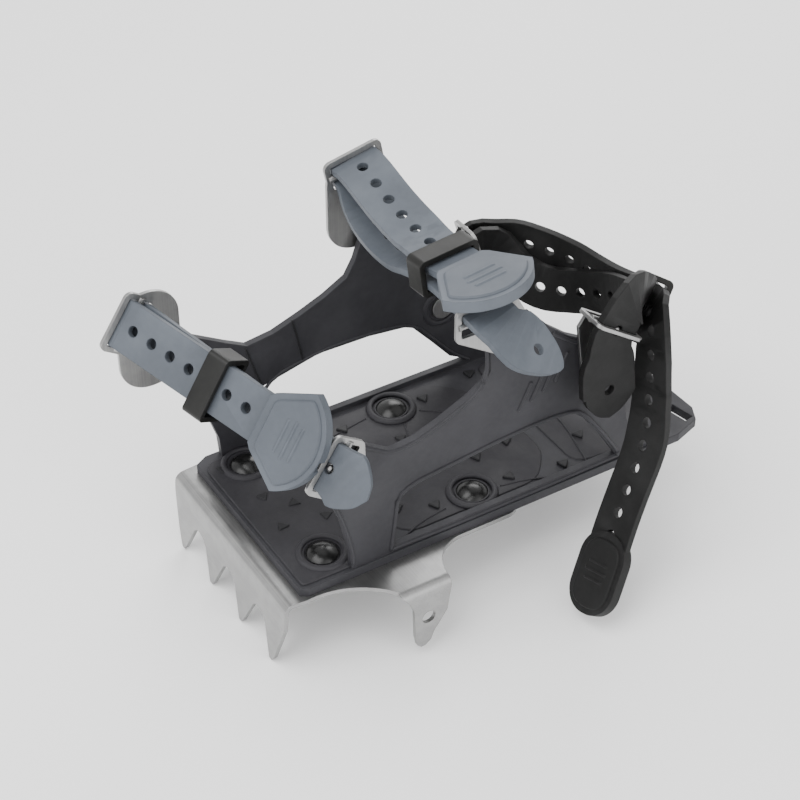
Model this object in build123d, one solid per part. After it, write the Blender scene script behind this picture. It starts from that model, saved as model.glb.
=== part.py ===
"""Snowshoe-binding crampon for the left foot.

A stamped steel claw plate is riveted under a moulded elastomer harness.  The harness has a flat footbed
and two upright wings.  Toe, instep and heel straps run between steel buckles riveted to the wings.

Axes: toe points to -Y, heel to +Y, the wearer's left side is +X, +Z is up.
Everything is built with z = 0 on the footbed's top face and moved at the end, so that the finished part
stands on z = 0 with its origin under the middle of its outer box.
"""
from build123d import *
import os
from math import atan2, pi

# ---------------------------------------------------------------- driving dimensions, mm
STEEL = 1.8                 # claw plate sheet
FOOTBED = 4.0               # footbed thickness
FOOTBED_HALF = 45.0         # half width of the footbed
RIVET_SPAN_X = 62.0         # footbed rivets, across the foot
RIVET_SPAN_Y = 69.0         # footbed rivets, along the foot
RIVET_R = 2.5               # shank radius of every rivet

CLAW_FRONT = -60.0          # mean position of the front claw flange
CLAW_TIP = -38.0            # height of the tooth tips
TOOTH_PITCH = 25.0
EAR_OUT = 65.0              # outer face of a pivot ear
EAR_TIP = -34.0             # lowest point of a pivot ear
EAR_HOLE = (-7.0, -19.5)    # pivot hole centre, y and z
EAR_HOLE_R = 3.0

WING_IN = 41.0              # inner face of a wing
WING_OUT = 44.0             # outer face of a wing

STRAP_W = 20.0
STRAP_T = 2.8
LEAF_FLARE = 4.4            # a strap's leaf-shaped end is this much wider than the strap
HOLE_R = 2.2                # strap adjustment holes
HOLE_PITCH = 9.5

BAR_R = 1.5                 # buckle cross bar
PRONG_R = 1.3
SHORT_PRONG = 3.4           # from the bar's axis to the round end of the prong
LONG_PRONG = 5.8
STRAP_GAP = 0.3             # clearance between a bar and the strap over it
WRAP = BAR_R + STRAP_GAP + STRAP_T / 2
BUCKLE = 1.4                # buckle sheet
BUCKLE_GAP = 1.2            # buckle sheet stands this far off the wing
BUCKLE_W = 26.4
BUCKLE_L = 44.0
WINDOW = (21.4, 10.8)       # slot that the strap passes through
RIVET_CLEAR = 0.08          # running clearance of a buckle on its rivet
FACE_CLEAR = 0.25           # side play of a buckle between washer and rivet head

KEEPER_T = 2.2
KEEPER_L = 9.0

LEFT = 1
RIGHT = -1


# ---------------------------------------------------------------- helpers
def outline(points):
    """Closed straight-sided face through 2-D points, in the XY plane."""
    return make_face(Polyline(*points, close=True))


def upright(points, x0, x1):
    """Slab between two x positions whose side view, (y, z), is the outline."""
    face = Plane.YZ * outline(points)
    return Pos(x0, 0, 0) * extrude(face, x1 - x0)


def unit(x, y, z):
    return Vector(x, y, z).normalized()


def smooth(stations, step=3.5):
    """Closely spaced stations on a smooth curve through the given ones."""
    points = [Vector(*s[0]) for s in stations]
    widths = [Vector(*s[1]).normalized() for s in stations]
    if len(points) == 2:
        return list(zip(points, widths))
    curve = Spline(*points)
    lengths = [0.0]
    for a, b in zip(points, points[1:]):
        lengths.append(lengths[-1] + (b - a).length)
    count = max(2, round(lengths[-1] / step))
    result = []
    for k in range(count + 1):
        travelled = lengths[-1] * k / count
        i = max(j for j in range(len(points) - 1) if lengths[j] <= travelled + 1e-9)
        share = (travelled - lengths[i]) / (lengths[i + 1] - lengths[i])
        blend = share * share * (3 - 2 * share)
        width = widths[i] * (1 - blend) + widths[i + 1] * blend
        start = curve.param_at_point(points[i])
        end = curve.param_at_point(points[i + 1])
        result.append((curve @ (start + (end - start) * share), width.normalized()))
    return result


def ribbon(stations, width=STRAP_W, thickness=STRAP_T, leaf=0.0):
    """Strap lofted through (centre, width direction) stations.

    The last stretch, as long as leaf, widens into a leaf-shaped end.
    """
    points = [s[0] for s in stations]
    last = len(points) - 1
    faces = []
    for i, point in enumerate(points):
        along = (points[min(i + 1, last)] - points[max(i - 1, 0)]).normalized()
        across = stations[i][1]
        across = (across - along * across.dot(along)).normalized()
        flare = LEAF_FLARE * min(1, max(0, (leaf - (points[last] - point).length) / 5))
        faces.append(Plane(point, x_dir=across, z_dir=along) * Rectangle(width + flare, thickness))
    return loft(faces, ruled=True)


def strap_holes(stations, first, count, pitch=HOLE_PITCH):
    """Adjustment holes, square to the strap, at even spacing along its centre line."""
    points = [s[0] for s in stations]
    cutters = []
    for k in range(count):
        left_over = first + k * pitch
        for i in range(len(points) - 1):
            span = points[i + 1] - points[i]
            if left_over <= span.length:
                share = left_over / span.length
                across = stations[i][1] * (1 - share) + stations[i + 1][1] * share
                normal = span.normalized().cross(across).normalized()
                place = Plane(points[i] + span * share, z_dir=normal)
                cutters.append(place * Cylinder(HOLE_R, 4 * STRAP_T))
                break
            left_over -= span.length
    return cutters


def wrap_around(bar, across, pull, lip=0.0):
    """Half turn of strap around a cross bar, open towards the pull direction.

    The lip makes the turn a little thicker and longer than the strap layers that run into it.
    """
    place = Plane(bar, x_dir=pull, z_dir=across)
    ring = Circle(WRAP + STRAP_T / 2 + lip) - Circle(WRAP - STRAP_T / 2 - lip)
    half = ring - Pos(WRAP * 2 + 6 * lip, 0) * Rectangle(WRAP * 4, WRAP * 4)
    return extrude(place * half, STRAP_W / 2 + lip, both=True)


def pull_tab(root, along, across, length, half_width, thickness):
    """Fan-shaped thumb tab that ends a strap, with a rounded outer edge."""
    place = Plane(root, x_dir=along, z_dir=along.cross(across))
    corner = length * 0.57
    edge = Polyline((corner, -half_width), (2, -STRAP_W / 2 - 2), (0, -STRAP_W / 2),
                    (0, STRAP_W / 2), (2, STRAP_W / 2 + 2), (corner, half_width))
    arc = ThreePointArc((corner, half_width), (length, 0), (corner, -half_width))
    return extrude(place * make_face(edge + arc), thickness / 2, both=True)


def frame_at(stations, spot):
    """Centre, run direction and width direction of a strap where it passes closest to a spot."""
    last = len(stations) - 2
    i = min(range(1, last + 1), key=lambda k: (stations[k][0] - spot).length)
    along = (stations[i + 1][0] - stations[i - 1][0]).normalized()
    across = stations[i][1]
    return stations[i][0], along, (across - along * across.dot(along)).normalized()


def keeper(upper, lower, spot, room):
    """Rectangular loop round two strap layers, at the place closest to a spot."""
    top, along, across = frame_at(upper, spot)
    low, low_along, low_across = frame_at(lower, spot)
    if along.dot(low_along) < 0:
        low_along = -low_along
    along = (along + low_along).normalized()
    place = Plane((top + low) / 2, x_dir=across + low_across, z_dir=along)
    height = abs((top - low).dot(place.y_dir)) + STRAP_T + 2 * room
    inner_width = STRAP_W + 2 * room
    print("keeper centre", place.origin, "run", along)
    outer = RectangleRounded(inner_width + 2 * KEEPER_T, height + 2 * KEEPER_T, 2.4)
    inner = RectangleRounded(inner_width, height, 0.6)
    return extrude(place * (outer - inner), KEEPER_L / 2, both=True)


# ---------------------------------------------------------------- claw plate
def claw_plate():
    top = -FOOTBED
    mid = top - STEEL / 2
    bend = 4.0
    half = 46.0
    side = Line((0, CLAW_FRONT + bend), (half, CLAW_FRONT + bend))
    side += Line((half, CLAW_FRONT + bend), (half + 0.5, -50))
    side += ThreePointArc((half + 0.5, -50), (51.0, -29.5), (EAR_OUT - bend, -18.5))
    side += Line((EAR_OUT - bend, -18.5), (EAR_OUT - bend, 3.5))
    side += ThreePointArc((EAR_OUT - bend, 3.5), (51, 8), (half, 20))
    side += Line((half, 20), (half, 42))
    side += ThreePointArc((half, 42), (half - 2.3, 47.7), (half - 8, 50))
    side += Line((half - 8, 50), (0, 50))
    plate = extrude(Pos(0, 0, top) * make_face(side + mirror(side, Plane.YZ)), -STEEL)

    lean = 2.5
    path = FilletPolyline((0, CLAW_FRONT + 12, mid), (0, CLAW_FRONT + 1.2, mid),
                          (0, CLAW_FRONT + 1.2 - lean, CLAW_TIP - 4), radius=bend - STEEL / 2)
    start = Plane(path @ 0, x_dir=(1, 0, 0), z_dir=path % 0)
    flange = sweep(start * Rectangle(2 * half, STEEL), path=path)
    teeth = [(-half, 0), (-half, -12), (-half + 3.5, CLAW_TIP + 8)]
    valley = CLAW_TIP + 18
    for k in range(4):
        far = -half + 5.5 + k * TOOTH_PITCH
        teeth += [(far, CLAW_TIP + 2), (far + 0.8, CLAW_TIP), (far + 2.6, CLAW_TIP), (far + 4, CLAW_TIP + 2)]
        if k < 3:
            teeth += [(far + 12, valley - 1), (far + 15, valley + 1), (far + 19, valley),
                      (far + 21.5, valley - 3)]
    teeth += [(half, -16), (half, 0)]
    prism = Plane.XZ * outline(teeth)
    flange &= Pos(0, CLAW_FRONT - 10, 0) * extrude(prism, -30)

    ear_path = FilletPolyline((EAR_OUT - 10, -7.5, mid), (EAR_OUT - STEEL / 2, -7.5, mid),
                              (EAR_OUT - STEEL / 2, -7.5, EAR_TIP), radius=bend - STEEL / 2)
    ear_start = Plane(ear_path @ 0, x_dir=(0, 1, 0), z_dir=ear_path % 0)
    ear = sweep(ear_start * Rectangle(24, STEEL), path=ear_path)
    shape = [(-18.5, 0), (-18.5, -5), (-15.5, -9), (-13.5, -14), (-13, -28), (-12.2, EAR_TIP + 1.6),
             (-10.5, EAR_TIP), (-8.5, EAR_TIP), (-6, EAR_TIP + 2), (-4.5, EAR_TIP + 6), (-1, EAR_TIP + 11),
             (1.5, EAR_TIP + 15), (2.5, -12), (3.5, -6), (3.5, 0)]
    ear &= upright(shape, EAR_OUT - 20, EAR_OUT + 2)
    ear -= Pos(EAR_OUT, *EAR_HOLE) * Rot(0, 90, 0) * Cylinder(EAR_HOLE_R, 8)

    body = plate + flange + ear + mirror(ear, Plane.YZ)
    for x in (-RIVET_SPAN_X / 2, RIVET_SPAN_X / 2):
        for y in (-RIVET_SPAN_Y / 2, RIVET_SPAN_Y / 2):
            body -= Pos(x, y, mid) * Cylinder(RIVET_R, 4 * STEEL)
    return body


# ---------------------------------------------------------------- harness
FOOTBED_OUTLINE = [(-42, -51.5), (43, -51.5), (45, -48), (45, 128), (41, 140), (34, 143.5), (-14, 142),
                   (-26, 138.5), (-36, 129), (-45, 112), (-45, -46)]
LEFT_WING = [(-29, -3), (-29, 8), (-33, 26), (-39, 41), (-39, 46), (-34, 54), (-29.5, 62), (-26.5, 62), (-20, 57),
             (-11, 51), (0, 52), (11, 56), (24, 62), (30, 66), (32.5, 71), (31.5, 86), (33.5, 92), (39, 94),
             (50, 91), (59, 81), (68, 73.5), (77, 68), (87, 64), (94, 58), (99, 50), (100, 42),
             (98, 31), (100, 19), (107, 6), (118, -3)]
RIGHT_WING = [(-40, -3), (-41, 10), (-46, 26), (-55, 45), (-64, 56), (-65, 62), (-58, 66.5), (-50, 65),
              (-35, 56), (-26, 51), (-14, 52.5), (-1, 57), (10, 61.5), (20, 67), (24, 74), (27.5, 84),
              (28, 92), (28, 101), (34, 104), (42, 98), (46, 84), (52, 72), (60, 62), (72, 55), (80, 47),
              (80, 38), (83, 22), (92, 8), (103, -3)]
LEFT_WINDOW = [(-10, 2.5), (-7, 29), (16, 31.5), (38, 34), (60, 35), (73, 33.5), (78, 29), (88, 15),
               (96, 2.5)]
RIGHT_WINDOW = [(-24, 2.5), (-20, 28.5), (6, 34.5), (30, 34), (50, 31.5), (60, 20), (70, 8), (80, 2.5)]


def harness():
    bed = extrude(outline(FOOTBED_OUTLINE), -FOOTBED)
    bed -= Pos(34, 136.6, -FOOTBED) * Rot(0, 0, 12) * Box(11, 4.4, 4 * FOOTBED)
    left = upright(LEFT_WING, WING_IN, WING_OUT) - upright(LEFT_WINDOW, WING_IN - 1, WING_OUT + 1)
    right = upright(RIGHT_WING, -WING_OUT, -WING_IN) - upright(RIGHT_WINDOW, -WING_OUT - 1, -WING_IN + 1)
    body = bed + left + right
    for x in (-RIVET_SPAN_X / 2, RIVET_SPAN_X / 2):
        for y in (-RIVET_SPAN_Y / 2, RIVET_SPAN_Y / 2):
            body -= Pos(x, y, 0) * Cylinder(RIVET_R, 6 * FOOTBED)
    for spot in BUCKLES.values():
        body -= Pos(spot.side * 42, *spot.rivet) * Rot(0, 90, 0) * Cylinder(RIVET_R, 12)
    return body


def footbed_rivets():
    """Domed heads above the washers, shanks through rubber and steel, formed heads below."""
    group = []
    for x in (-RIVET_SPAN_X / 2, RIVET_SPAN_X / 2):
        for y in (-RIVET_SPAN_Y / 2, RIVET_SPAN_Y / 2):
            shank = Cylinder(RIVET_R, FOOTBED + STEEL + 1.0, align=(Align.CENTER, Align.CENTER, Align.MAX))
            dome = Sphere(9.0) & Pos(0, 0, 9.0) * Box(20, 20, 5.6)
            head = Pos(0, 0, -6.2 + 1.0) * dome
            foot = Pos(0, 0, -FOOTBED - STEEL) * Cylinder(4.2, 1.2, align=(Align.CENTER, Align.CENTER, Align.MAX))
            group.append(Pos(x, y, 0) * (Pos(0, 0, 1.0) * shank + head + foot))
    return Compound(group)


def footbed_washers():
    group = []
    for x in (-RIVET_SPAN_X / 2, RIVET_SPAN_X / 2):
        for y in (-RIVET_SPAN_Y / 2, RIVET_SPAN_Y / 2):
            ring = Cylinder(7.2, 1.0, align=(Align.CENTER, Align.CENTER, Align.MIN))
            group.append(Pos(x, y, 0) * (ring - Cylinder(RIVET_R, 4)))
    return Compound(group)


# ---------------------------------------------------------------- buckle positions
class Spot:
    """One buckle: its side, rivet (y, z), cross bar (y, z) and the strap's width direction there.

    plate is the middle of an upright oblong plate; without it the plate is no larger than it must be.
    """

    def __init__(self, side, rivet, bar, across, plate=None, flare=0.0):
        self.side = side
        self.rivet = rivet
        self.flare = flare
        self.plate = plate
        self.across = unit(0, *across)
        self.x = side * (WING_OUT + BUCKLE_GAP)
        self.outward = Vector(side, 0, 0)
        self.bar = Vector(self.x, *bar) + self.outward * (flare + BUCKLE / 2)
        self.face = Plane((self.x, *bar), x_dir=self.across * side, z_dir=self.outward)

    def on_face(self, y, z):
        """Position on the wing side of the buckle, in the buckle's own sheet coordinates."""
        local = self.face.to_local_coords(Vector(self.x, y, z))
        return Pos(local.X, local.Y)

    def turn_upright(self):
        """Angle that stands a shape drawn in sheet coordinates upright again."""
        vertical = Vector(0, 0, 1)
        return Rot(0, 0, -atan2(vertical.dot(self.face.x_dir), vertical.dot(self.face.y_dir)) * 180 / pi)


TOE_ACROSS = (0.55, 0.83)
INSTEP_ACROSS = (0.98, 0.2)
BUCKLES = {
    "toe_left": Spot(LEFT, (-31, 44.5), (-36.2, 55.6), TOE_ACROSS),
    "toe_right": Spot(RIGHT, (-58, 58), (-73, 77), TOE_ACROSS, plate=(-65.5, 67)),
    "instep_left": Spot(LEFT, (44, 82), (28, 98.5), (1, 0)),
    "instep_right": Spot(RIGHT, (32, 92), (27.2, 114.2), INSTEP_ACROSS, plate=(27.5, 99.5)),
    "heel_left": Spot(LEFT, (82, 50), (81, 79), (0.82, -0.57), flare=6.6),
    "heel_right": Spot(RIGHT, (66, 36), (88, 50), (0.3, -0.95), flare=7.3),
}
FRAME = 2.3                 # sheet left round a strap slot


def flat_buckle(spot):
    """Rounded steel plate with a strap slot; toe and instep straps cross it square to the wing."""
    frame = RectangleRounded(WINDOW[0] + 2 * FRAME, WINDOW[1] + 2 * FRAME, 3)
    boss = spot.on_face(*spot.rivet) * Circle(7.5)
    if spot.plate:
        oblong = RectangleRounded(BUCKLE_W, BUCKLE_L, BUCKLE_W / 2.1)
        shape = frame + boss + spot.on_face(*spot.plate) * spot.turn_upright() * oblong
    else:
        shape = make_hull((frame + boss).edges())
    shape -= RectangleRounded(*WINDOW, 1)
    shape -= spot.on_face(*spot.rivet) * Circle(RIVET_R + RIVET_CLEAR)
    return extrude(spot.face * shape, BUCKLE) - bar_solid(spot)


def bent_buckle(spot):
    """Steel tongue on the wing with its upper end bent outwards; the heel strap runs along the wing."""
    base = Pos(0, -3.5) * Rectangle(16, 7)
    tongue = make_hull((base + spot.on_face(*spot.rivet) * Circle(7.5)).edges())
    tongue -= spot.on_face(*spot.rivet) * Circle(RIVET_R + RIVET_CLEAR)
    sheet = extrude(spot.face * tongue, BUCKLE)
    reach = spot.flare + BUCKLE / 2 + WINDOW[1] / 2 + FRAME
    wall = Pos(0, 0, reach / 2) * Box(WINDOW[0] + 2 * FRAME, BUCKLE, reach)
    wall = fillet(wall.edges().filter_by(Axis.Y), 3)
    wall -= Pos(0, 0, spot.flare + BUCKLE / 2) * Box(WINDOW[0], 4 * BUCKLE, WINDOW[1])
    return sheet + spot.face.location * wall - bar_solid(spot)


def bar_solid(spot):
    place = Plane(spot.bar, x_dir=spot.outward, z_dir=spot.across)
    return place * Cylinder(BAR_R, WINDOW[0] + FRAME)


def bar_with_prong(spot, direction, length):
    """Cross bar with the short prong that a strap hole drops over."""
    prong = Cylinder(PRONG_R, length, align=(Align.CENTER, Align.CENTER, Align.MIN))
    prong += Pos(0, 0, length) * Sphere(PRONG_R)
    return bar_solid(spot) + Plane(spot.bar, z_dir=direction) * prong


def prong_hole(spot, direction):
    cutter = Cylinder(HOLE_R, 12, align=(Align.CENTER, Align.CENTER, Align.MIN))
    return Plane(spot.bar, z_dir=direction) * cutter


def buckle_rivets():
    group = []
    for spot in BUCKLES.values():
        place = Plane((spot.side * WING_OUT, *spot.rivet), z_dir=spot.outward)
        reach = BUCKLE_GAP + BUCKLE + FACE_CLEAR
        shank = Pos(0, 0, -4.2) * Cylinder(RIVET_R, reach + 4.4, align=(Align.CENTER, Align.CENTER, Align.MIN))
        head = Pos(0, 0, reach) * Cylinder(4.4, 1.2, align=(Align.CENTER, Align.CENTER, Align.MIN))
        head = fillet(head.edges().sort_by(Axis.Z)[-1], 0.8)
        back = Pos(0, 0, WING_IN - WING_OUT) * Cylinder(5.5, 1.2, align=(Align.CENTER, Align.CENTER, Align.MAX))
        group.append(place * (shank + head + back))
    return Compound(group)


def buckle_washers():
    group = []
    thick = BUCKLE_GAP - FACE_CLEAR
    for spot in BUCKLES.values():
        place = Plane((spot.side * WING_OUT, *spot.rivet), z_dir=spot.outward)
        ring = Cylinder(4.6, thick, align=(Align.CENTER, Align.CENTER, Align.MIN)) - Cylinder(RIVET_R, 8)
        group.append(place * ring)
    return Compound(group)


# ---------------------------------------------------------------- straps
def pointed(strap, tip, along, across, length):
    """Trim a strap's free end to a leaf with a small round tip."""
    place = Plane(tip, x_dir=along, z_dir=along.cross(across))
    half = (STRAP_W + LEAF_FLARE) / 2
    for side in (-1, 1):
        edge = Spline((-length, side * half), (-length * 0.75, side * half * 0.93),
                      (-length * 0.45, side * half * 0.72), (-length * 0.15, side * half * 0.38),
                      (-0.8, side * 2.1), (0, 0))
        rest = Polyline((0, 0), (3, 0), (3, side * 2 * half), (-length, side * 2 * half), (-length, side * half))
        strap -= extrude(place * make_face(edge + rest), 8, both=True)
    return strap


TOE_RUN = unit(0.942, 0.302, -0.147)
TOE_W = unit(-0.026, 0.55, 0.828)
TOE_FACE = TOE_RUN.cross(TOE_W).normalized()
INSTEP_W = unit(0, 0.98, 0.2)
INSTEP_FACE = unit(0, -0.2, 0.98)
HEEL_PULL = unit(0, 0.95, 0.3)


def at(vector):
    return (vector.X, vector.Y, vector.Z)


def toe_layers():
    left = BUCKLES["toe_left"].bar
    right = BUCKLES["toe_right"].bar
    start = right + TOE_FACE * WRAP
    root = Vector(20.6, -51.7, 67.9)
    top = [(at(start + (root - start) * share), at(TOE_W)) for share in (0, 0.06, 0.35, 0.7, 1.03)]
    start = right - TOE_FACE * WRAP
    over = left + TOE_FACE * WRAP
    low = [(at(start + (over - start) * share), at(TOE_W)) for share in (0, 0.06, 0.3, 0.6, 0.85, 0.96, 1.02)]
    low += [(at(over + Vector(8, 2.6, -2.6)), at(TOE_W)), (at(over + Vector(15.5, 6.4, -7)), at(TOE_W))]
    return smooth(top), smooth(low), root


def toe_strap():
    top, low, root = toe_layers()
    right = BUCKLES["toe_right"].bar
    upper = ribbon(top) - strap_holes(top, 6, 7)
    lower = ribbon(low, leaf=16) - strap_holes(low, 24, 7)
    strap = upper + lower + wrap_around(right, TOE_W, TOE_RUN, lip=0.06)
    strap += pull_tab(root + TOE_FACE * 0.6, TOE_RUN, TOE_W, 30, 20.5, 4.2)
    tip = low[-1][0]
    strap = pointed(strap, tip, (tip - low[-3][0]).normalized(), TOE_W, 12)
    strap -= prong_hole(BUCKLES["toe_left"], TOE_FACE) + prong_hole(BUCKLES["toe_right"], -TOE_RUN)
    return strap


def instep_layers():
    left = BUCKLES["instep_left"].bar
    right = BUCKLES["instep_right"].bar
    w = at(INSTEP_W)
    flat = (0, 1, 0.08)
    level = (0, 1, 0)
    up = at(right + INSTEP_FACE * WRAP)
    down = at(right - INSTEP_FACE * WRAP)
    top = [(up, w), ((-43, 26.8, 117.4), w), ((-39, 27, 116.9), w), ((-31, 27.3, 114.8), w),
           ((-22, 27.5, 112.3), w), ((-12.5, 27.7, 110.4), w), ((-3, 27.9, 109.2), w),
           ((6.5, 28.2, 108.5), flat), ((16, 28.7, 108.3), flat), ((28, 29.5, 109.5), flat)]
    low = [(down, w), ((-43.2, 27.8, 110.5), w), ((-39.7, 27.8, 105), w), ((-35, 27.8, 99.8), w),
           ((-27, 27.9, 96.2), w), ((-17, 28, 94.8), w), ((-6, 27.8, 96), w), ((6, 27.9, 99.2), flat),
           ((16, 28, 101.6), flat), ((28, 28, 102.4), level), ((38, 28, 102.1), level),
           ((43, 28, 101.8), level), ((46, 28, 101.7), level), ((49.5, 28.2, 101.3), level),
           ((55, 30.2, 98.6), (-0.2, 0.97, 0)), ((60, 35.5, 93.5), (-0.3, 0.95, 0)),
           ((64, 41.5, 87.8), (-0.35, 0.93, -0.02)), ((67.5, 47.5, 81.5), (-0.35, 0.93, -0.02))]
    return smooth(top), smooth(low)


def instep_strap():
    top, low = instep_layers()
    right = BUCKLES["instep_right"].bar
    upper = ribbon(top) - strap_holes(top, 7, 6)
    lower = ribbon(low, leaf=27) - strap_holes(low, 22, 6) - strap_holes(low, 124, 1)
    strap = upper + lower + wrap_around(right, INSTEP_W, Vector(1, 0, 0))
    strap += pull_tab(Vector(26.5, 29.4, 109.5), unit(0.99, 0.06, 0.1), unit(-0.07, 1, 0.06), 30, 20.5, 4.6)
    tip = low[-1][0]
    strap = pointed(strap, tip, (tip - low[-3][0]).normalized(), low[-1][1], 20)
    strap -= prong_hole(BUCKLES["instep_left"], Vector(0, 0, 1))
    strap -= prong_hole(BUCKLES["instep_right"], Vector(-1, 0, 0))
    return strap


def heel_layers():
    left = BUCKLES["heel_left"]
    right = BUCKLES["heel_right"]
    over = left.bar + Vector(WRAP, 0, 0)
    inner = right.bar + Vector(WRAP, 0, 0)
    outer = right.bar - Vector(WRAP, 0, 0)
    wl = (0, -0.82, 0.57)
    wr = (0, -0.3, 0.95)
    up = (0, 0, 1)
    low = [((57, 79.5, 38.5), (0, -1, 0.05)), ((57, 78.4, 52), (0, -1, 0.1)),
           ((56.6, 77.6, 62), (0, -0.96, 0.25)), ((56, 78.3, 71), (0, -0.88, 0.45)),
           (at(over - left.face.y_dir * 2.5), wl), (at(over + left.face.y_dir * 2.5), wl),
           ((55.2, 86.2, 85.8), (0, -0.72, 0.69)), ((53.4, 91.5, 87), (-0.05, -0.45, 0.88)),
           ((50, 96.5, 84.5), (0.1, -0.15, 0.95)), ((45.6, 101, 79), (0.15, 0.2, 0.93)),
           ((40.5, 104.8, 72), (0.1, 0.38, 0.9)), ((34, 108.6, 65.5), (0.1, 0.3, 0.95)),
           ((26, 113.4, 59), (0.1, 0.2, 0.95)), ((14, 120, 51), up), ((0, 123, 45), up),
           ((-12, 121, 40), up), ((-22, 116.5, 36.5), (-0.1, 0.05, 0.97)), ((-30, 110.5, 35.5), (-0.2, 0.1, 0.96)),
           ((-37.5, 105.5, 38), (-0.15, 0.1, 0.96)), ((-43.8, 102, 43), (0, 0, 1)),
           ((-48.3, 98, 48.5), (0, -0.15, 0.98)), (at(inner + HEEL_PULL * 4), wr), (at(inner), wr)]
    back = [(at(outer), wr), (at(outer + HEEL_PULL * 4), wr), ((-54, 98.5, 51), (0.1, -0.15, 0.97)),
            ((-48, 107, 51), (0.15, 0, 0.98)), ((-38, 114.5, 50), (0.2, 0, 0.98)),
            ((-27, 121.5, 48.5), (0.25, -0.09, 0.97)), ((-15, 126, 46.5), (0.3, -0.1, 0.95)),
            ((2.7, 127.8, 47.5), (0.35, -0.12, 0.9)), ((15, 125.4, 51.5), (0.42, -0.15, 0.87)),
            ((26, 119.4, 58), (0.5, -0.15, 0.8)), ((35, 113.6, 63.5), (0.55, -0.15, 0.75)),
            ((43, 108.6, 69), (0.62, -0.15, 0.7)), ((49.5, 104.2, 71), (0.75, -0.1, 0.62)),
            ((54.5, 101.2, 67.5), (0.86, -0.05, 0.5)), ((57.5, 99.6, 58), (0.9, 0, 0.42)),
            ((61, 97.5, 42), (0.9, 0.1, 0.42)), ((66, 92.5, 26), (0.87, 0.24, 0.43)),
            ((70, 84, 12), (0.87, 0.24, 0.43)), ((74, 75.5, 0), (0.87, 0.24, 0.43)),
            ((77.5, 69, -10), (0.87, 0.24, 0.43))]
    return smooth(back), smooth(low)


def heel_strap():
    back, low = heel_layers()
    left = BUCKLES["heel_left"]
    right = BUCKLES["heel_right"]
    lower = ribbon(low[::-1], leaf=32) - strap_holes(low, 14, 1) - strap_holes(low, 84, 12)
    upper = ribbon(back) - strap_holes(back, 9, 28)
    lower = pointed(lower, low[0][0], Vector(0, 0, -1), Vector(0, -1, 0), 13)
    strap = lower + upper + wrap_around(right.bar, unit(0, -0.3, 0.95), HEEL_PULL)
    strap -= prong_hole(left, Vector(1, 0, 0)) + prong_hole(right, -HEEL_PULL)
    run = unit(3.3, -6.5, -10)
    across = unit(0.87, 0.24, 0.43)
    place = Plane(back[-1][0], x_dir=run, z_dir=run.cross(across))
    tab = Pos(11, 0) * RectangleRounded(34, 24, 11)
    return strap + extrude(place * tab, 2.2, both=True)


# ---------------------------------------------------------------- build, centre and export
shapes = {
    "crampon_plate": claw_plate(),
    "harness": harness(),
    "footbed_rivets": footbed_rivets(),
    "footbed_washers": footbed_washers(),
    "buckle_rivets": buckle_rivets(),
    "buckle_washers": buckle_washers(),
    "toe_strap": toe_strap(),
    "instep_strap": instep_strap(),
    "heel_strap": heel_strap(),
}

PRONGS = {
    "toe_left": (TOE_FACE, SHORT_PRONG),
    "toe_right": (-TOE_RUN, LONG_PRONG),
    "instep_left": (Vector(0, 0, 1), SHORT_PRONG),
    "instep_right": (Vector(-1, 0, 0), LONG_PRONG),
    "heel_left": (Vector(1, 0, 0), SHORT_PRONG),
    "heel_right": (-HEEL_PULL, LONG_PRONG),
}
for name, spot in BUCKLES.items():
    strap, side = name.split("_")
    plate = bent_buckle(spot) if strap == "heel" else flat_buckle(spot)
    shapes[f"{strap}_buckle_{side}"] = plate
    shapes[f"{strap}_bar_{side}"] = bar_with_prong(spot, *PRONGS[name])

shapes["toe_keeper"] = keeper(*toe_layers()[:2], Vector(-4, -59, 70.5), 1.1)
shapes["instep_keeper"] = keeper(*instep_layers(), Vector(16, 28, 105), 1.0)
shapes["heel_keeper"] = keeper(*heel_layers(), Vector(34, 111, 64), 1.6)

whole = Compound(list(shapes.values())).bounding_box()
shift = Vector(-(whole.min.X + whole.max.X) / 2, -(whole.min.Y + whole.max.Y) / 2, -whole.min.Z)
print("shift", shift, "size", whole.size)
for name, spot in BUCKLES.items():
    print("rivet", name, Vector(spot.x, *spot.rivet) + shift, "bar", spot.bar + shift)
print("ear hole", Vector(EAR_OUT - STEEL / 2, *EAR_HOLE) + shift)

os.makedirs("parts", exist_ok=True)
for name, shape in shapes.items():
    export_step(Pos(shift) * shape, f"parts/{name}.step")
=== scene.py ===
"""Looks and fine detail of the snowshoe-binding crampon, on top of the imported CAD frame."""
import math

import bmesh
import bpy
from mathutils import Matrix, Vector


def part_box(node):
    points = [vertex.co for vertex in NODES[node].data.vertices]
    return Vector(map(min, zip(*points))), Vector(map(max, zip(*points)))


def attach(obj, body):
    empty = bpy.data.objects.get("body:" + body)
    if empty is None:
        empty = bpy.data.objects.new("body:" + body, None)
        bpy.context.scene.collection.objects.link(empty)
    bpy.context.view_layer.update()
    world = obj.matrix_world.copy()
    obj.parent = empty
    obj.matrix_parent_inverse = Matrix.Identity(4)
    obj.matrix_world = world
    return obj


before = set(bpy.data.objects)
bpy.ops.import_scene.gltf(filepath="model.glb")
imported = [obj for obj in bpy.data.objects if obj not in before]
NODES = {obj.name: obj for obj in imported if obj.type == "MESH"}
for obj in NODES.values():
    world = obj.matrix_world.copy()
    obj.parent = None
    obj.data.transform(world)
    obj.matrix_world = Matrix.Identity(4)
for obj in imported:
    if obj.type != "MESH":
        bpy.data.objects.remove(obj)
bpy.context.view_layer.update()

MM = 0.001
low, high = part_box("footbed_washers")
CENTRE = (Vector(low) + Vector(high)) / 2
CENTRE.z = low[2]                      # footbed's top face, in the middle of its four rivets
WING_OUT = 44                          # outer face of the left wing, mm from the middle
RIGHT_IN = -41                         # inner face of the right wing
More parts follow.
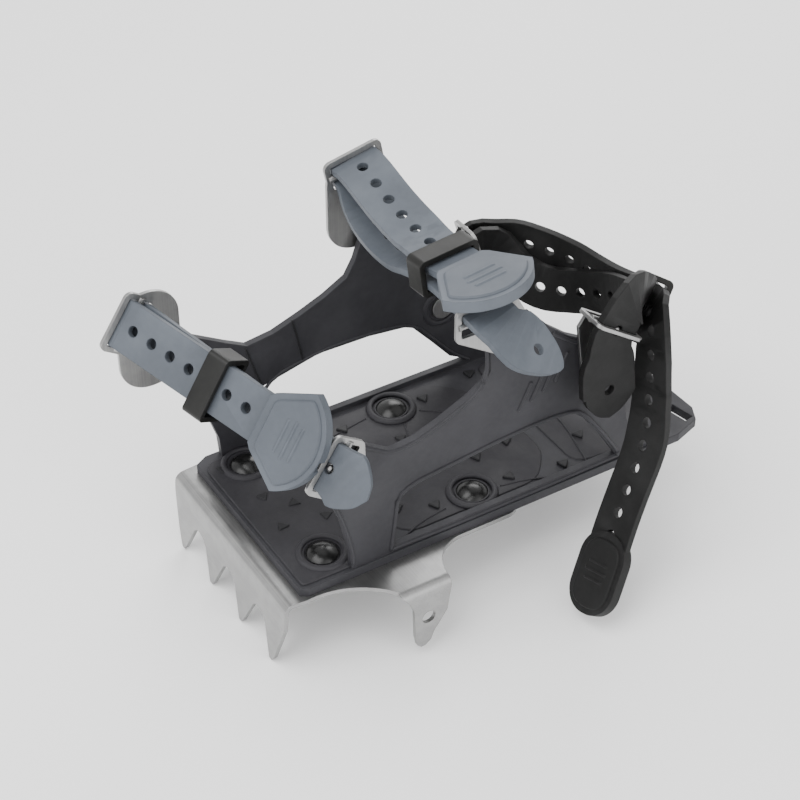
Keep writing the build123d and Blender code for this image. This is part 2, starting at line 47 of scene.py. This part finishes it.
SUNK = -0.3                            # how far a raised detail reaches into the face under it, mm
PAD_CORNER = 7                         # corner radius of the footbed's pads, mm
STUD_SIZE = 3.0                        # middle to tip of a traction stud, mm
BEAD_SIDES = 8
RING_SIDES = 48


def place(x, y, z):
    """A point given in mm from the middle of the four footbed rivets, in the frame."""
    return CENTRE + Vector((x, y, z)) * MM


# ---------------------------------------------------------------- materials
class Material:
    """A node material built from one Principled shader and procedural textures."""

    def __init__(self, name, **values):
        self.material = bpy.data.materials.new(name)
        self.material.use_nodes = True
        self.tree = self.material.node_tree
        self.shader = self.tree.nodes["Principled BSDF"]
        for key, value in values.items():
            self.shader.inputs[key.replace("_", " ").title().replace("Ior", "IOR")].default_value = value
        self.coords = self.tree.nodes.new("ShaderNodeTexCoord").outputs["Object"]

    def node(self, kind, **settings):
        """New node; a setting goes to the input of its name, or else to the node itself."""
        node = self.tree.nodes.new(kind)
        for key, value in settings.items():
            if key in node.inputs:
                node.inputs[key].default_value = value
            else:
                setattr(node, key, value)
        return node

    def link(self, output, socket):
        self.tree.links.new(output, socket)

    def noise(self, scale, detail, stretch=(1, 1, 1), roughness=0.5):
        mapping = self.node("ShaderNodeMapping", Scale=stretch)
        self.link(self.coords, mapping.inputs["Vector"])
        noise = self.node("ShaderNodeTexNoise", Scale=scale, Detail=detail, Roughness=roughness)
        self.link(mapping.outputs["Vector"], noise.inputs["Vector"])
        return noise.outputs["Fac"]

    def ramp(self, source, stops):
        """Colour that runs between two stops, each a position and a colour."""
        ramp = self.node("ShaderNodeValToRGB")
        for element, (position, color) in zip(ramp.color_ramp.elements, stops):
            element.position = position
            element.color = (*color, 1)
        self.link(source, ramp.inputs["Fac"])
        return ramp.outputs["Color"]

    def mix(self, factor, a, b, blend="MIX"):
        """Mixes a and b; each of the three is an output to link or a plain value."""
        mix = self.node("ShaderNodeMix", data_type="RGBA", blend_type=blend)
        for value, key in ((factor, "Factor"), (a, "A"), (b, "B")):
            if hasattr(value, "links"):
                self.link(value, mix.inputs[key])
            else:
                mix.inputs[key].default_value = value
        return mix.outputs["Result"]

    def rounded_edges(self, radius):
        """Normals that turn softly over the surface's sharp edges."""
        return self.node("ShaderNodeBevel", samples=4, Radius=radius).outputs["Normal"]

    def bump(self, source, strength, distance, before=None):
        bump = self.node("ShaderNodeBump", Strength=strength, Distance=distance)
        self.link(source, bump.inputs["Height"])
        if before:
            self.link(before, bump.inputs["Normal"])
        return bump.outputs["Normal"]


def grey(value, tint=(1, 1, 1)):
    return tuple(value * t for t in tint)


ZERO, ONE = grey(0), grey(1)           # ends of a mask


def wear_mask(m, scale):
    """Convex edges picked out by the mesh's pointiness, broken up by noise."""
    geometry = m.node("ShaderNodeNewGeometry")
    edge = m.ramp(geometry.outputs["Pointiness"], [(0.52, ZERO), (0.6, ONE)])
    patch = m.ramp(m.noise(scale, 6), [(0.42, ZERO), (0.62, ONE)])
    return m.mix(1.0, edge, patch, "MULTIPLY")


def worn_edges(m, color, scale, strength, pale):
    """Colour with its convex edges rubbed towards a paler one."""
    worn = m.mix(1.0, wear_mask(m, scale), (*grey(strength), 1), "MULTIPLY")
    return m.mix(worn, color, (*pale, 1))


def rubber(name, dark, light, roughness=(0.5, 0.68), grain=0.18, dust=0.10, specular=0.32):
    """Moulded elastomer: uneven tone, dusty patches, fine grain and slightly polished areas."""
    m = Material(name, specular_ior_level=specular)
    broad = m.noise(22, 5)
    fine = m.noise(420, 3)
    color = m.ramp(broad, [(0.3, dark), (0.7, light)])
    color = m.mix(0.25, color, m.ramp(fine, [(0.35, dark), (0.65, light)]))
    dusty = m.ramp(m.noise(60, 8, roughness=0.7), [(0.55, ZERO), (0.8, grey(dust))])
    pale = tuple(c * 1.5 + 0.015 for c in light)
    color = m.mix(dusty, color, (*pale, 1))
    m.link(worn_edges(m, color, 38, 0.35, pale), m.shader.inputs["Base Color"])
    rough = m.ramp(m.noise(75, 6), [(0.3, grey(roughness[0])), (0.7, grey(roughness[1]))])
    m.link(rough, m.shader.inputs["Roughness"])
    normal = m.bump(m.noise(1600, 2), grain, 0.12 * MM, m.rounded_edges(0.6 * MM))
    normal = m.bump(m.noise(130, 3), 0.12, 0.4 * MM, normal)
    m.link(normal, m.shader.inputs["Normal"])
    return m.material


def brushed_steel(name, base, stretch):
    """Rolled and brushed stainless sheet: long fine scratches, faint cloudiness, scuffed edges."""
    m = Material(name, metallic=1.0)
    lines = m.noise(10, 7, stretch, roughness=0.75)
    cloud = m.noise(12, 3)
    color = m.ramp(lines, [(0.3, grey(base * 0.78)), (0.7, grey(base * 1.2, (1, 0.995, 0.985)))])
    color = m.mix(0.2, color, m.ramp(cloud, [(0.3, grey(base * 0.92)), (0.7, grey(base * 1.08))]))
    m.link(worn_edges(m, color, 160, 0.18, (0.5, 0.5, 0.49)), m.shader.inputs["Base Color"])
    rough = m.ramp(lines, [(0.25, grey(0.33)), (0.75, grey(0.43))])
    m.link(rough, m.shader.inputs["Roughness"])
    normal = m.bump(lines, 0.3, 0.06 * MM, m.rounded_edges(0.4 * MM))
    m.link(normal, m.shader.inputs["Normal"])
    return m.material


def gloss_black(name):
    """Dark enamelled rivet head with rubbed, slightly cloudy lacquer."""
    m = Material(name, specular_ior_level=0.4)
    tone = m.ramp(m.noise(300, 4), [(0.3, grey(0.003)), (0.75, grey(0.006))])
    m.link(worn_edges(m, tone, 200, 0.2, grey(0.08)), m.shader.inputs["Base Color"])
    rough = m.ramp(m.noise(120, 4), [(0.35, grey(0.24)), (0.75, grey(0.32))])
    m.link(rough, m.shader.inputs["Roughness"])
    m.link(m.bump(m.noise(500, 2), 0.03, 0.05 * MM), m.shader.inputs["Normal"])
    return m.material


def floor_material():
    """Pale matt backdrop paper."""
    m = Material("floor_paper", specular_ior_level=0.1)
    tone = m.ramp(m.noise(3, 3), [(0.3, grey(0.93)), (0.7, grey(0.955))])
    m.link(tone, m.shader.inputs["Base Color"])
    rough = m.ramp(m.noise(40, 3), [(0.3, grey(0.8)), (0.7, grey(0.92))])
    m.link(rough, m.shader.inputs["Roughness"])
    return m.material


HARNESS = rubber("harness_elastomer", (0.016, 0.016, 0.019), (0.028, 0.0275, 0.032))
STRAP = rubber("strap_elastomer", (0.060, 0.069, 0.083), (0.078, 0.089, 0.105), (0.45, 0.6), 0.10, 0.05)
BLACK = rubber("heel_strap_elastomer", grey(0.0045), grey(0.010), (0.45, 0.62), 0.2, 0.04, 0.22)
KEEPER = rubber("keeper_elastomer", grey(0.003), (0.007, 0.007, 0.006), (0.34, 0.5), 0.1, 0.04, 0.24)
PAD = rubber("pad_elastomer", (0.013, 0.0125, 0.015), (0.024, 0.023, 0.027), (0.5, 0.7), 0.3, 0.08)
# darkest rubber: the studs' own tone, and painted shade where it draws the right wing's creases
STUD_AND_CREASE_SHADE = rubber("stud_elastomer_and_crease_shade", (0.005, 0.005, 0.006), (0.010, 0.010, 0.012), (0.5, 0.65), 0.2, 0.04)
STEEL = brushed_steel("brushed_steel_plate", 0.30, (1, 260, 260))
BUCKLE_STEEL = brushed_steel("brushed_steel_buckle", 0.33, (260, 260, 1))
RIVET = gloss_black("rivet_gloss")


def repaint(node, material):
    """Gives a CAD node's every material slot the same material."""
    obj = NODES[node]
    for index in range(max(1, len(obj.material_slots))):
        if obj.material_slots:
            obj.material_slots[index].material = material
        else:
            obj.data.materials.append(material)


for name in NODES:
    if name.endswith("_keeper"):
        repaint(name, KEEPER)
    elif "buckle_" in name or "_bar_" in name:
        repaint(name, BUCKLE_STEEL)
for name, material in (("crampon_plate", STEEL), ("harness", HARNESS), ("toe_strap", STRAP),
                       ("instep_strap", STRAP), ("heel_strap", BLACK), ("footbed_rivets", RIVET),
                       ("footbed_washers", PAD)):
    repaint(name, material)


# ---------------------------------------------------------------- small meshes
def mesh_object(name, bm, material, body="base", smooth=True):
    """Turns the finished bmesh into a piece that rides on a body."""
    bmesh.ops.recalc_face_normals(bm, faces=bm.faces)
    mesh = bpy.data.meshes.new(name)
    bm.to_mesh(mesh)
    bm.free()
    for polygon in mesh.polygons:
        polygon.use_smooth = smooth
    obj = bpy.data.objects.new(name, mesh)
    bpy.context.scene.collection.objects.link(obj)
    mesh.materials.append(material)
    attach(obj, body)


def skin(bm, rows):
    """Faces between neighbouring rows of vertices; each row closes on itself."""
    count = len(rows[0])
    for a, b in zip(rows, rows[1:]):
        for i in range(count):
            j = (i + 1) % count
            bm.faces.new((a[i], a[j], b[j], b[i]))


def capped_strip(bm, rings):
    """Joins equal rings of points into a skin, and caps the first and last ring."""
    rows = [[bm.verts.new(p) for p in ring] for ring in rings]
    skin(bm, rows)
    bm.faces.new(rows[0][::-1])
    bm.faces.new(rows[-1])


def around(sides):
    """Angles of a regular polygon's corners."""
    return [2 * math.pi * k / sides for k in range(sides)]


def slab(bm, outline, base, thickness, chamfer, normal, x_dir):
    """Raised pad with a chamfered rim: a 2-D outline in mm on a face, at base in the frame."""
    normal = Vector(normal).normalized()
    x_dir = Vector(x_dir).normalized()
    y_dir = normal.cross(x_dir)
    middle = [sum(c) / len(outline) for c in zip(*outline)]

    def ring(shrink, height):
        points = []
        for u, v in outline:
            reach = math.hypot(u - middle[0], v - middle[1]) or 1
            keep = 1 - shrink / reach
            point = (middle[0] + (u - middle[0]) * keep, middle[1] + (v - middle[1]) * keep)
            points.append(base + (x_dir * point[0] + y_dir * point[1] + normal * height) * MM)
        return points

    capped_strip(bm, [ring(0, SUNK), ring(0, thickness - chamfer), ring(chamfer, thickness)])


def rounded(points, radius, steps=4):
    """A polygon's corners replaced by short arcs of about the given radius."""
    result = []
    count = len(points)
    for i in range(count):
        here = Vector(points[i])
        before = Vector(points[i - 1]) - here
        after = Vector(points[(i + 1) % count]) - here
        cut = min(radius, before.length * 0.45, after.length * 0.45)
        a = here + before.normalized() * cut
        b = here + after.normalized() * cut
        for k in range(steps + 1):
            t = k / steps
            result.append(tuple(a.lerp(here, t).lerp(here.lerp(b, t), t)))
    return result


def bead(name, points, radius, material):
    """Thin raised moulding line: a round section swept through points in the frame."""
    rings = []
    last = len(points) - 1
    for i, point in enumerate(points):
        along = points[min(i + 1, last)] - points[max(i - 1, 0)]
        along.normalize()
        side = along.cross(Vector((0, 0, 1)) if abs(along.z) < 0.9 else Vector((1, 0, 0))).normalized()
        up = side.cross(along)
        rings.append([point + (side * math.cos(a) + up * math.sin(a)) * radius * MM
                      for a in around(BEAD_SIDES)])
    bm = bmesh.new()
    capped_strip(bm, rings)
    mesh_object(name, bm, material)


def pad_patch(name, outline, thickness):
    """Raised grip pad on the footbed, outline in mm from the middle of the rivets."""
    bm = bmesh.new()
    slab(bm, rounded(outline, PAD_CORNER), place(0, 0, 0), thickness, 0.5, (0, 0, 1), (1, 0, 0))
    mesh_object(name, bm, PAD, smooth=False)


def grip_bump(bm, x, y, turn):
    """Low three-sided traction stud."""
    spin = Matrix.Rotation(turn, 2)
    half, back = STUD_SIZE * 0.95, STUD_SIZE * 0.7
    corners = [(0, STUD_SIZE), (-half, -back), (half, -back)]
    corners = [tuple(spin @ Vector(c)) for c in corners]
    slab(bm, rounded(corners, 1.2, 3), place(x, y, 0.5), 1.0, 0.4, (0, 0, 1), (1, 0, 0))


# the footbed's raised pads, with shallow grooves between them
pad_patch("front_pad", [(-40, -50), (42.5, -50), (43, -47), (43, -24), (36, -18), (20, -14), (-8, -14),
                        (-24, -12), (-40, -5)], 1.0)
pad_patch("middle_pad_left", [(3, -10), (22, -8), (38.5, 0), (38.5, 62), (24, 74), (3, 74)], 0.5)
pad_patch("middle_pad_right", [(-3, -10), (-22, -8), (-38.5, 0), (-38.5, 56), (-24, 70), (-3, 72)], 0.5)
pad_patch("rear_pad", [(-38, 80), (38, 80), (40, 96), (38, 118), (20, 126), (-20, 124), (-36, 112)], 0.5)

studs = bmesh.new()
for x, y, turn in ((-33, -44, 0.2), (-10, -38, 0.5), (10, -40, -0.4), (36, -16, 0.6), (-14, -22, 2.6),
                   (13, -22, 0.1), (0, -30, 3.4), (24, 4, 0.2), (12, 14, 2.8), (30, 18, 0.5), (14, 48, 0.4),
                   (31, 52, 2.9), (12, 64, 0.1), (-14, 6, 0.3), (-30, 10, 2.7), (-12, 28, 0.2),
                   (-30, 50, 0.4), (-14, 58, 2.9), (-24, 92, 0.2), (0, 96, 2.9), (24, 92, 0.5),
                   (-12, 112, 0.4), (14, 112, 2.8), (34, 104, 0.9), (36, 76, 0.3), (-34, 76, 0.1)):
    grip_bump(studs, x, y, turn)
mesh_object("grip_studs", studs, STUD_AND_CREASE_SHADE, smooth=False)


def ring_on_face(name, x, y, z, inner, outer, height, normal, material):
    """Raised round boss ring on a face."""
    bm = bmesh.new()
    normal = Vector(normal)
    side = Vector((0, 1, 0)) if abs(normal.x) > 0.5 else Vector((1, 0, 0))
    up = normal.cross(side)
    profile = [(inner, -0.2), (inner, height * 0.7), (inner + 0.5, height), (outer - 0.9, height),
               (outer, height * 0.35), (outer + 0.2, -0.2)]
    rows = []
    for radius, rise in profile:
        offsets = [(side * math.cos(a) + up * math.sin(a)) * radius + normal * rise
                   for a in around(RING_SIDES)]
        rows.append([bm.verts.new(place(x, y, z) + offset * MM) for offset in offsets])
    skin(bm, rows + rows[:1])
    mesh_object(name, bm, material)


RIVETS = [(x, y) for x in (-31, 31) for y in (-34.5, 34.5)]
for index, (x, y) in enumerate(RIVETS):
    ring_on_face(f"rivet_collar_{index}", x, y, 0.6, 8.0, 10.6, 1.5, (0, 0, 1), PAD)
ring_on_face("heel_boss_ring", RIGHT_IN, 65.7, 36, 7.2, 9.6, 0.9, (1, 0, 0), HARNESS)


def softened_line(points):
    """Cuts a polyline's corners twice, so that it runs as a smooth curve."""
    for _ in range(2):
        cut = [points[0]]
        for a, b in zip(points, points[1:]):
            cut += [a.lerp(b, 0.25), a.lerp(b, 0.75)]
        points = cut + [points[-1]]
    return points


def wing_line(name, x, side_view, radius, material=HARNESS):
    """Moulding line on a wing's face; the side view gives (y, z) in mm."""
    bead(name, softened_line([place(x, y, z) for y, z in side_view]), radius, material)


def footbed_line(name, top_view, radius):
    """Moulding line on the footbed; the top view gives (x, y) in mm."""
    bead(name, softened_line([place(x, y, 0.5) for x, y in top_view]), radius, PAD)


# rims and moulding lines of the left wing's outer face
wing_line("left_window_rim", WING_OUT,
          [(97, 1.5), (96.6, 4), (89.2, 15.8), (79, 30), (73.8, 34.7), (60, 36.2), (38, 35.2), (16, 32.7),
           (-8, 30.3), (-9.5, 16), (-11.3, 1.5)], 0.9)
wing_line("left_window_sill", WING_OUT - 0.2, [(-11.3, 1.4), (20, 0.6), (60, 0.6), (97, 1.4)], 0.9)
wing_line("left_band_rim", WING_OUT - 0.2,
          [(-29.5, 60.6), (-27, 60.8), (-20, 55.8), (-11, 49.8), (0, 50.8), (11, 54.8), (24, 60.8), (29, 65),
           (31.3, 71), (30.4, 85)], 0.8)
wing_line("left_leg_rim", WING_OUT - 0.2, [(-28, 2), (-28, 8), (-32, 26), (-37.8, 41)], 0.7)
wing_line("heel_layer_step", WING_OUT,
          [(60, 78), (67.2, 72), (75.9, 66.2), (78.1, 62), (78.4, 58.5), (77, 50.7), (77.4, 45.6),
           (80.8, 37.7), (84.6, 32)], 0.8)
for index in range(4):
    y, z = 46 + 5.5 * index, 46 + 2.6 * index
    wing_line(f"wing_grip_rib_{index}", WING_OUT, [(y, z), (y + 5.5, z + 12)], 0.75)

# creases and rim of the right wing's inner face; the creases are beads in the darkest stud rubber, painted
# shade of the folds
wing_line("right_wing_crease_shade_front", RIGHT_IN, [(-27, 50.5), (-24, 40), (-20.5, 29)], 0.5, STUD_AND_CREASE_SHADE)
wing_line("right_wing_crease_shade_middle", RIGHT_IN, [(-5.6, 56), (-3.2, 45), (-1.3, 34.4)], 0.5, STUD_AND_CREASE_SHADE)
wing_line("right_window_rim", RIGHT_IN,
          [(-25.2, 3), (-21.4, 30), (6, 36), (30, 35.4), (50.8, 32.8), (61, 21), (71, 9), (80, 2)], 0.7)

# fine moulding lines between the studs
footbed_line("front_pad_seam", [(-38, -30), (-4, -33), (14, -48)], 0.45)
for index, run in enumerate((((42, -8), (36, 6), (34, 20)), ((34, 46), (37, 60), (43, 72)),
                             ((42, 84), (10, 92), (-10, 88)), ((-20, 34), (-8, 30)),
                             ((-31, 22), (-28, 4)), ((-24, 44), (-10, 62)))):
    footbed_line(f"footbed_seam_{index}", run, 0.4)


RIB_SECTION = ((-0.7, -0.1), (-0.35, 0.4), (0.35, 0.4), (0.7, -0.1))
RIB_TAPER = ((-1, 0.1), (-0.94, 0.8), (-0.85, 1), (0.85, 1), (0.94, 0.8), (1, 0.1))


def face_pad(name, root, lift, along, across, outline, thickness, ribs, material, body):
    """Raised plateau on a thumb tab, with plain grip ribs standing on it.

    The root is in the tab, lift mm under the plateau's foot. A rib is its distance along and half length.
    """
    along = Vector(along).normalized()
    across = Vector(across).normalized()
    base = root + along.cross(across).normalized() * lift * MM
    across = (across - along * across.dot(along)).normalized()
    normal = along.cross(across)
    bm = bmesh.new()
    slab(bm, rounded(outline, 3.5, 4), base, thickness, thickness * 0.7, normal, along)
    for reach, half in ribs:
        rings = []
        for share, shrink in RIB_TAPER:
            middle = base + (along * reach + across * half * share + normal * thickness) * MM
            rings.append([middle + (along * u + normal * (v * shrink)) * MM for u, v in RIB_SECTION])
        capped_strip(bm, rings)
    mesh_object(name, bm, material, body, smooth=False)


def fan(start, half_start, shoulder, radius, centre, half):
    """Outline of a thumb tab's plateau: narrow at the strap, round at the free end."""
    swing = math.asin(half / radius)
    arc = [(centre + radius * math.cos(swing * t), radius * math.sin(swing * t))
           for t in (-1, -0.85, -0.7, -0.5, -0.3, -0.1, 0.1, 0.3, 0.5, 0.7, 0.85, 1)]
    wide = half_start + 1.6
    return [(start, half_start), (start, -half_start), (shoulder, -wide), *arc, (shoulder, wide)]


TAB = fan(3, 9.4, 5, 20.7, 7.26, 18)
TAB_RIBS = ((12, 7), (15.5, 8), (19, 7))
ROUND_END = rounded([(-3, -9.6), (25.6, -9.6), (25.6, 9.6), (-3, 9.6)], 12, 7)
face_pad("toe_tab_plateau", place(20.6, -51.7, 67.9), 2.65, (0.942, 0.302, -0.147), (-0.026, 0.55, 0.828),
         TAB, 0.9, TAB_RIBS, STRAP, "toe_strap_set")
face_pad("instep_tab_plateau", place(26.5, 29.4, 109.5), 2.25, (0.99, 0.06, 0.1), (-0.07, 1, 0.06),
         TAB, 0.9, TAB_RIBS, STRAP, "instep_strap_set")
face_pad("heel_tab_plateau", place(77.5, 69, -10), 2.15, (3.3, -6.5, -10), (0.87, 0.24, 0.43),
         ROUND_END, 0.8, ((7, 5), (10.5, 6), (14, 5)), BLACK, "heel_strap_set")


# ---------------------------------------------------------------- stage
FLOOR_HALF = 3.0                       # metres
FLOOR_Z = -0.6 * MM                    # just under the tooth tips

bm = bmesh.new()
bm.faces.new([bm.verts.new((x * FLOOR_HALF, y * FLOOR_HALF, FLOOR_Z))
              for x, y in ((-1, -1), (1, -1), (1, 1), (-1, 1))])
mesh = bpy.data.meshes.new("floor")
bm.to_mesh(mesh)
bm.free()
floor = bpy.data.objects.new("floor", mesh)
bpy.context.scene.collection.objects.link(floor)
mesh.materials.append(floor_material())


TARGET = place(-34.69, 41.14, 0)       # what the camera and the lights look at
SOFTBOXES = (                          # offset from the target in metres, power in watts, side in metres
    ("key_softbox", (0.1, -0.5, 1.0), 11, 0.9), ("fill_softbox", (1.1, 0.2, 0.5), 5, 0.9),
    ("rim_softbox", (-0.7, 0.7, 0.7), 7, 0.7), ("front_softbox", (0.3, -1.1, 0.25), 4, 0.8))
for name, offset, power, side in SOFTBOXES:
    light = bpy.data.lights.new(name, "AREA")
    light.energy = power
    light.size = side
    lamp = bpy.data.objects.new(name, light)
    lamp.location = TARGET + Vector(offset)
    lamp.rotation_euler = (TARGET - (TARGET + Vector(offset))).to_track_quat("-Z", "Y").to_euler()
    bpy.context.scene.collection.objects.link(lamp)

world = bpy.context.scene.world or bpy.data.worlds.new("studio")
bpy.context.scene.world = world
world.use_nodes = True
background = world.node_tree.nodes["Background"]
background.inputs["Color"].default_value = (1, 1, 1, 1)
background.inputs["Strength"].default_value = 1.2

AZIMUTH, ELEVATION = math.radians(58.383), math.radians(38.574)
DISTANCE = 0.850                       # metres from the target
LENS = 90.3                            # mm, on a 36 mm sensor

camera_data = bpy.data.cameras.new("camera")
camera_data.lens = LENS
camera_data.sensor_width = 36
camera_data.clip_start = 0.01
camera = bpy.data.objects.new("camera", camera_data)
back = Vector((math.sin(AZIMUTH) * math.cos(ELEVATION), -math.cos(AZIMUTH) * math.cos(ELEVATION),
               math.sin(ELEVATION)))
camera.location = TARGET + back * DISTANCE
camera.rotation_euler = back.to_track_quat("Z", "Y").to_euler()
bpy.context.scene.collection.objects.link(camera)
bpy.context.scene.camera = camera
